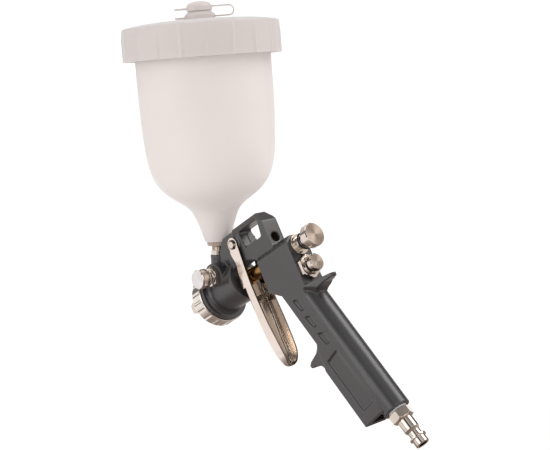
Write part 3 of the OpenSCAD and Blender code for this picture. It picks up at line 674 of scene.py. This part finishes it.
lathe("inlet_thread", [(20, 3.05), (20, 4.2), (31, 4.2)] + chamfered_hex(31, 34.6, 10, 0.5)
      + [(34.6, 4.6)] + [(34.9 + 0.4 * k, 5.1 if k % 2 else 4.6, 0) for k in range(8)]
      + [(38.2, 4.6), (38.2, 5.3), (45.6, 5.3), (45.6, 3.05)],
      CUP, NICKEL, "gun", ("cup_inlet",), segments=96, shape=hexagon(10), edge=0.08)


def collar_grip(angle, _z, r):
    """Shallow waves round the collar's outside."""
    return r - 0.25 * (0.5 + 0.5 * math.cos(24 * angle)) if r > 7 else r


lathe("cup_foot_collar", [(38.25, 5.4), (38.25, 8.25), (41.4, 8.25), (41.4, 5.4)], CUP, BROWN,
      "gun", ("cup_collar",), edge=0.4, segments=120, shape=collar_grip)

lathe("hose_plug", [(-163.4, 3.2), (-163.4, 4.55), (-163.0, 4.8), (-158.6, 4.8), (-158.6, 5.9),
                    (-157.3, 5.9), (-157.1, 4.3), (-153.5, 4.3), (-151.6, 5.4), (-144.2, 5.4),
                    (-143.45, 5.0)]
      + chamfered_hex(-143.45, -137.05, 14, 0.8)
      + [(-137.05, 5.0), (-124.7, 5.0), (-124.7, 3.2)],
      GRIP, NICKEL, "gun", ("air_plug",), segments=144, shape=hexagon(14), edge=0.2)

# ---------------------------------------------------------------- cup and lid
CUP_OUTLINE = [
    (8.6, 36), (9.6, 41.5), (11.4, 48), (14, 56), (17.6, 64), (22.4, 69), (28.6, 73.4),
    (36, 79.4), (41.6, 87), (45.2, 97), (47.2, 109), (48.3, 124), (48.9, 145), (49, 160),
    (49, 176), (49, 178)]


def cup():
    """A bowl of even wall with a plain neck, drawn from the foot round the rim and back."""
    wall, rise, inside_foot = 1.4, 1.1, 44
    outer = [(h, r) for r, h in curve_through(CUP_OUTLINE, 6)]
    inner = [(h + rise, r - wall) for h, r in reversed(outer) if h > inside_foot]
    profile = ([(41.5, 5.4, 0.2)] + [(h, r, 0) for h, r in outer]
               + [(179, 51.8, 0.8), (190, 51.95, 0.8), (190, 47.6, 0.6)]
               + [(h, r, 0) for h, r in inner] + [(43.5, 5.4, 0.2)])
    lathe("cup_bowl", profile, CUP, CUP_PLASTIC, "gun", ("cup",), segments=160)


cup()


def lid_ribs(angle, z, r):
    """Low rounded ribs down the lid's skirt."""
    skirt, top = 56, 197.3
    height, half_width = 0.8, 1.1
    if r < skirt or z > top:
        return r
    return r + height * math.exp(-(off_centre(angle, GRIP_COUNT, r) / half_width) ** 2)


def lid():
    """A slightly domed top and a double skirt that the cup's rim screws into."""
    dome = [(201.5 - 2.6 * (k / 8) ** 2, 24 + 30 * k / 8, 0) for k in range(9)]
    profile = ([(175.1, 52.15), (191.5, 52.15), (191.5, 46), (197.0, 46), (197.0, 6.1),
                (201.55, 6.1)] + dome
               + [(198.2, 56.2, 0.6), (197.4, 56.8, 0.2), (190, 56.8, 0), (182, 56.8, 0),
                  (175.1, 56.8, 0.3), (175.1, 54.7, 0.3), (189, 54.7), (189, 53.3),
                  (175.1, 53.3, 0.3)])
    lathe("lid_cap", profile, CUP, LID_PLASTIC, "lid", ("cup_lid",), segments=480,
          shape=lid_ribs, edge=0.4)


lid()
lathe("vent_socket", [(195.7, 4.25), (195.7, 6.7), (196.9, 6.7), (196.9, 5.95), (201.65, 5.95),
                      (201.65, 10.9), (202.6, 11.0), (205.4, 10.9), (206.4, 9.6), (207.7, 8.2),
                      (207.7, 4.25)],
      CUP, LID_PLASTIC, "lid", ("vent_collar",), edge=0.5)
lathe("vent_plug", [(203.4, 0, 0), (203.4, 4.1), (208.05, 4.1), (208.05, 9.2), (209.8, 9.3),
                    (211.5, 9.2), (213.2, 8.0), (214.3, 6.0), (214.95, 3.0, 0), (215.0, 0, 0)],
      CUP, LID_PLASTIC, "vent_cap", ("vent_cap",), edge=0.6, closed=False)


STRAP_SIDE = 45
TAB_REACH = 17.9


def tab(name, body, z0, z1):
    """The small pull tab opposite the strap."""
    bm = bmesh.new()
    place = CUP @ Matrix.Rotation(math.radians(STRAP_SIDE + 180), 4, "Z")
    outline = [(8.2, z0), (TAB_REACH, z0), (TAB_REACH, z1), (8.2, z1)]
    extruded(bm, rounded(outline, 0.4), place, -2, 2)
    piece = finish_piece(name, bm, LID_PLASTIC, body)
    eased_edges(piece, 0.35)
    weighted(piece)


tab("vent_socket_tab", "lid", 203.0, 204.2)
tab("vent_plug_tab", "vent_cap", 209.4, 210.6)


def vent_strap():
    """A thin moulded strap looping from the socket round to the plug."""
    bend_r, loop, bend_h = 21.2, 3.55, 207.4
    half_width, half_thick, sides = 1.7, 0.55, 12
    path = [(10.9 + 10.3 * k / 6, bend_h - loop) for k in range(7)]
    for k in range(1, 16):
        a = math.radians(-90 + 180 * k / 16)
        path.append((bend_r + loop * math.cos(a), bend_h + loop * math.sin(a)))
    path += [(bend_r - 12.0 * k / 7, bend_h + loop) for k in range(8)]
    place = CUP @ Matrix.Rotation(math.radians(STRAP_SIDE), 4, "Z")
    bm = bmesh.new()
    rings = []
    for i, (r, h) in enumerate(path):
        before, after = path[max(i - 1, 0)], path[min(i + 1, len(path) - 1)]
        run = Vector((after[0] - before[0], after[1] - before[1])).normalized()
        side = Vector((-run.y, run.x))
        ring = []
        for k in range(sides):
            a = 2 * math.pi * k / sides
            across, thick = half_width * math.cos(a), half_thick * math.sin(a)
            spot = Vector((r + side.x * thick, across, h + side.y * thick))
            ring.append(bm.verts.new(place @ (spot * MM)))
        rings.append(ring)
    joined_rings(bm, rings)
    piece = loose_piece("vent_strap", bm, LID_PLASTIC)
    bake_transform(piece)
    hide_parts("vent_tether")


vent_strap()


# ---------------------------------------------------------------- springs
def coil_spring(name, x0, z0, r, wire, length, turns):
    """A coil along X, from x0 to the rear over the given length."""
    per_turn, sides = 24, 8
    steps = turns * per_turn
    bm = bmesh.new()
    rings = []
    for i in range(steps + 1):
        a = 2 * math.pi * i / per_turn
        middle = x0 + wire + (length - 2 * wire) * i / steps
        ring = []
        for k in range(sides):
            b = 2 * math.pi * k / sides
            out = r + wire * math.cos(b)
            spot = Vector((middle + wire * math.sin(b), out * math.sin(a), z0 + out * math.cos(a)))
            ring.append(bm.verts.new(spot * MM))
        rings.append(ring)
    joined_rings(bm, rings)
    piece = loose_piece(name, bm, STEEL)
    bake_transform(piece)
    return piece


needle_coil = coil_spring("needle_coil", 78.1, 0, 3.6, 0.5, 27, 8)
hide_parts("needle_spring")
valve_coil = coil_spring("valve_coil", 93.1, VALVE_Z, 2.9, 0.4, 10.9, 3)
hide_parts("air_valve_spring")

# ---------------------------------------------------------------- small CAD nodes kept
for node in ("air_cap", "packing_nut", "trigger_pin", "pin_clip", "valve_gland"):
    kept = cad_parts[node]
    weld = kept.modifiers.new("weld", "WELD")
    weld.merge_threshold = 1e-6
    eased_edges(kept, 0.12, 40)
    weighted(kept)


# ---------------------------------------------------------------- studio
FLOOR_HALF, FLOOR_HEIGHT = 4.0, -0.19


def floor():
    """White to the camera, and in the metal a pale floor with painted shade under the gun."""
    bm = bmesh.new()
    corners = [bm.verts.new((x * FLOOR_HALF, y * FLOOR_HALF, FLOOR_HEIGHT))
               for x, y in ((-1, -1), (1, -1), (1, 1), (-1, 1))]
    bm.faces.new(corners)
    mesh = bpy.data.meshes.new("floor")
    bm.to_mesh(mesh)
    bm.free()
    made, nodes, output = new_material("studio_floor")
    path = nodes.add("ShaderNodeLightPath")
    apart = nodes.add("ShaderNodeVectorMath", {0: nodes.place()}, operation="LENGTH")
    # Painted shade: in reflections the floor darkens towards the gun.
    painted_floor_shade = nodes.ramp(apart.outputs["Value"],
                          [(0.30, (0.26, 0.21, 0.18)), (0.75, (0.88, 0.84, 0.81))])
    tone = nodes.mix(path.outputs["Is Glossy Ray"], (0.90, 0.88, 0.87, 1), painted_floor_shade)
    diffuse = nodes.add("ShaderNodeBsdfDiffuse", {"Color": tone})
    lit = nodes.add("ShaderNodeEmission", {"Color": (1, 1, 1, 1), "Strength": 1.0})
    nodes.plug(nodes.add("ShaderNodeMixShader", {
        0: path.outputs["Is Camera Ray"], 1: diffuse, 2: lit}), output.inputs["Surface"])
    mesh.materials.append(made)
    piece = bpy.data.objects.new("floor", mesh)
    scene.collection.objects.link(piece)


def studio_world():
    """White behind the object, and a ring of soft boxes and dark flags for metal to reflect."""
    world = bpy.data.worlds.new("studio")
    world.use_nodes = True
    world.node_tree.nodes.clear()
    nodes = Nodes(world.node_tree)
    output = nodes.add("ShaderNodeOutputWorld")
    way = nodes.add("ShaderNodeSeparateXYZ",
                    {0: nodes.add("ShaderNodeTexCoord").outputs["Generated"]})
    bearing = nodes.math("ARCTAN2", way.outputs["Y"], way.outputs["X"])
    turn = nodes.math("ADD", nodes.math("DIVIDE", bearing, 2 * math.pi), 0.5)
    white, soft = (1.0, 0.97, 0.94), (0.84, 0.79, 0.77)
    warm, flag = (0.66, 0.59, 0.53), (0.03, 0.022, 0.018)
    stops = [(-180, soft), (-118, soft), (-108, flag), (-96, flag), (-88, white),
             (-72, white), (-62, flag), (-48, flag), (-38, white), (-12, white), (12, warm),
             (58, warm), (72, flag), (96, flag), (108, white), (180, white)]
    around = nodes.ramp(turn, [((a + 180) / 360, colour) for a, colour in stops])
    higher = nodes.ramp(way.outputs["Z"], [(0.42, (0, 0, 0)), (0.56, (1, 1, 1))])
    above = nodes.ramp(way.outputs["Z"], [(0.74, (0.16, 0.15, 0.15)), (0.86, (1.0, 0.98, 0.97))])
    seen = nodes.mix(higher, around, above)
    path = nodes.add("ShaderNodeLightPath")
    colour = nodes.mix(path.outputs["Is Diffuse Ray"], seen, (0.98, 0.98, 1.0, 1))
    colour = nodes.mix(path.outputs["Is Camera Ray"], colour, (1, 1, 1, 1))
    reflected, less_for_diffuse = 1.1, -0.16
    dimmed = nodes.math("MULTIPLY", path.outputs["Is Diffuse Ray"], less_for_diffuse)
    strength = nodes.math("ADD", dimmed, reflected)
    strength = nodes.math("MAXIMUM", strength, path.outputs["Is Camera Ray"])
    nodes.plug(nodes.add("ShaderNodeBackground", {"Color": colour, "Strength": strength}),
               output.inputs["Surface"])
    scene.world = world


def area_light(name, place, size, power):
    """A round soft light, aimed at the middle of the gun."""
    middle = Vector((0.05, 0, 0.03))
    data = bpy.data.lights.new(name, "AREA")
    data.shape, data.size, data.energy = "DISK", size, power
    light = bpy.data.objects.new(name, data)
    light.location = place
    light.rotation_mode = "QUATERNION"
    light.rotation_quaternion = (middle - Vector(place)).to_track_quat("-Z", "Y")
    scene.collection.objects.link(light)


def camera():
    """The photograph's viewing angle: behind the gun's left side, a little below it."""
    data = bpy.data.cameras.new("camera")
    data.lens, data.sensor_width = 75.53, 36
    data.clip_start, data.clip_end = 0.05, 20
    made = bpy.data.objects.new("camera", data)
    azimuth, elevation, roll = (math.radians(a) for a in (46.6, -12.238, -22.645))
    back = Vector((math.sin(azimuth) * math.cos(elevation),
                   -math.cos(azimuth) * math.cos(elevation), math.sin(elevation)))
    made.rotation_mode = "QUATERNION"
    made.rotation_quaternion = (
        back.to_track_quat("Z", "Y") @ Euler((0, 0, roll)).to_quaternion())
    made.location = (0.66204, -0.53845, -0.14884)
    scene.collection.objects.link(made)
    scene.camera = made


floor()
studio_world()
area_light("key", (-0.1, -1.25, 0.45), 0.9, 3.0)
area_light("rear", (0.9, 0.6, 0.6), 0.7, 4.0)
camera()
scene.view_settings.view_transform = "Standard"
